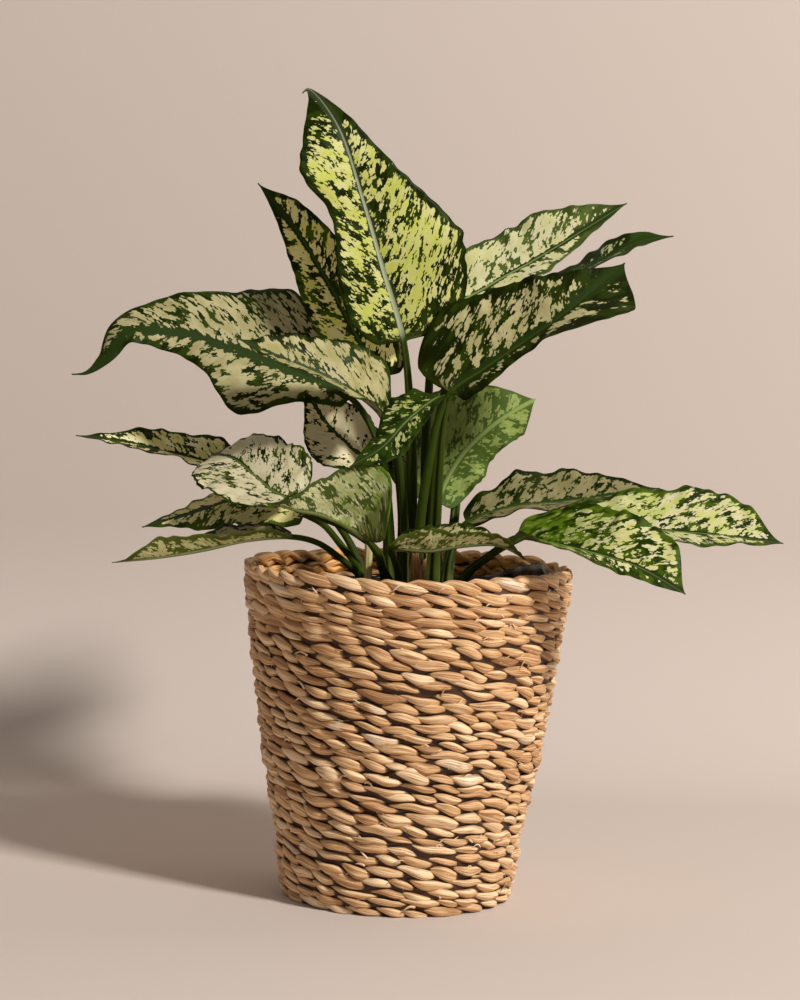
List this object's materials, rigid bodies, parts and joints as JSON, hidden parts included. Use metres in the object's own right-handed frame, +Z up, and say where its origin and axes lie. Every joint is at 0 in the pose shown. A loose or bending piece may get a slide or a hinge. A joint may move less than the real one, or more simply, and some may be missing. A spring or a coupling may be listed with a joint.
{
  "type": "potted plant",
  "caption": "Potted chinese evergreen with patterned leaves on slim stalks, growing in soil in a round woven seagrass basket.",
  "frame": {"origin": "centre of the basket's flat underside", "axes": "+Z up, -Y towards the front of the plant, from where it is seen, +X to the viewer's right"},
  "size_m": [0.4951, 0.2957, 0.5565],
  "materials": {
    "seagrass": "dry twisted plant fibre, matt",
    "black_film": "creased black film",
    "potting_soil": "crumbly potting soil",
    "leaf_dark": "dark green with small cream spots, satin",
    "leaf_mid": "green with cream patches, satin",
    "leaf_pale": "cream with green flecks and margin, satin",
    "leaf_bright": "yellow-green patches on dark green, satin",
    "pale_stalk": "pale yellow-green, matt",
    "dry_sheath": "papery brown"
  },
  "bodies": {
    "root": {"woven_basket": "seagrass", "plastic_liner": "black_film", "potting_soil": "potting_soil", "leaf_crown": "leaf_bright", "leaf_upper_left": "leaf_mid", "leaf_left_arch": "leaf_pale", "leaf_front_left": "leaf_pale", "leaf_left_inner": "leaf_pale", "leaf_front_centre": "leaf_mid", "leaf_far_left": "leaf_mid", "leaf_left_broad": "leaf_pale", "leaf_left_cupped": "leaf_pale", "leaf_low_front": "leaf_pale", "leaf_right_inner": "leaf_mid", "leaf_right_arch": "leaf_dark", "leaf_upper_right": "leaf_pale", "leaf_right_slim": "leaf_dark", "leaf_right_long": "leaf_mid", "leaf_right_front": "leaf_mid", "leaf_far_right": "leaf_pale", "leaf_lower_left": "leaf_pale", "leaf_lowest_left": "leaf_pale", "leaf_behind_centre": "leaf_pale", "leaf_back_left": "leaf_mid", "leaf_back_right": "leaf_mid", "cut_stalk_stub": "pale_stalk", "dry_sheath": "dry_sheath"}
  },
  "joints": []
}
